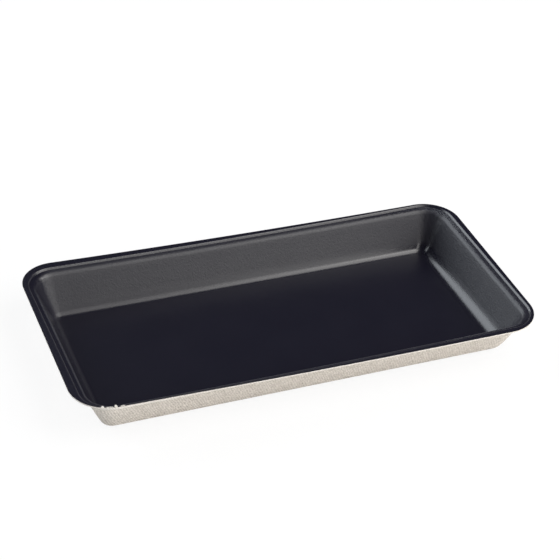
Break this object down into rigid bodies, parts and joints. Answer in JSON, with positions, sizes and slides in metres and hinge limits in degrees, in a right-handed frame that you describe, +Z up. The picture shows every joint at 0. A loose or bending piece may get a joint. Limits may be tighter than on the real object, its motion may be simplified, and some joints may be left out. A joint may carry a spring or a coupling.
{
  "type": "laminated cardboard plate",
  "caption": "Rectangular takeaway plate with sloping walls, a flat rim with a shallow step inside it and rounded corners, pressed from pale board and lined with dark film.",
  "frame": {"origin": "centre of the cut outline, on the surface that the base stands on", "axes": "+X along the length, +Y along the width, +Z up out of the open tray"},
  "size_m": [0.26, 0.13, 0.0248],
  "materials": {
    "fibre_board": "matte",
    "black_film": "satin"
  },
  "bodies": {
    "root": {"fibre_tray": "fibre_board", "film_lining": "black_film"}
  },
  "joints": []
}
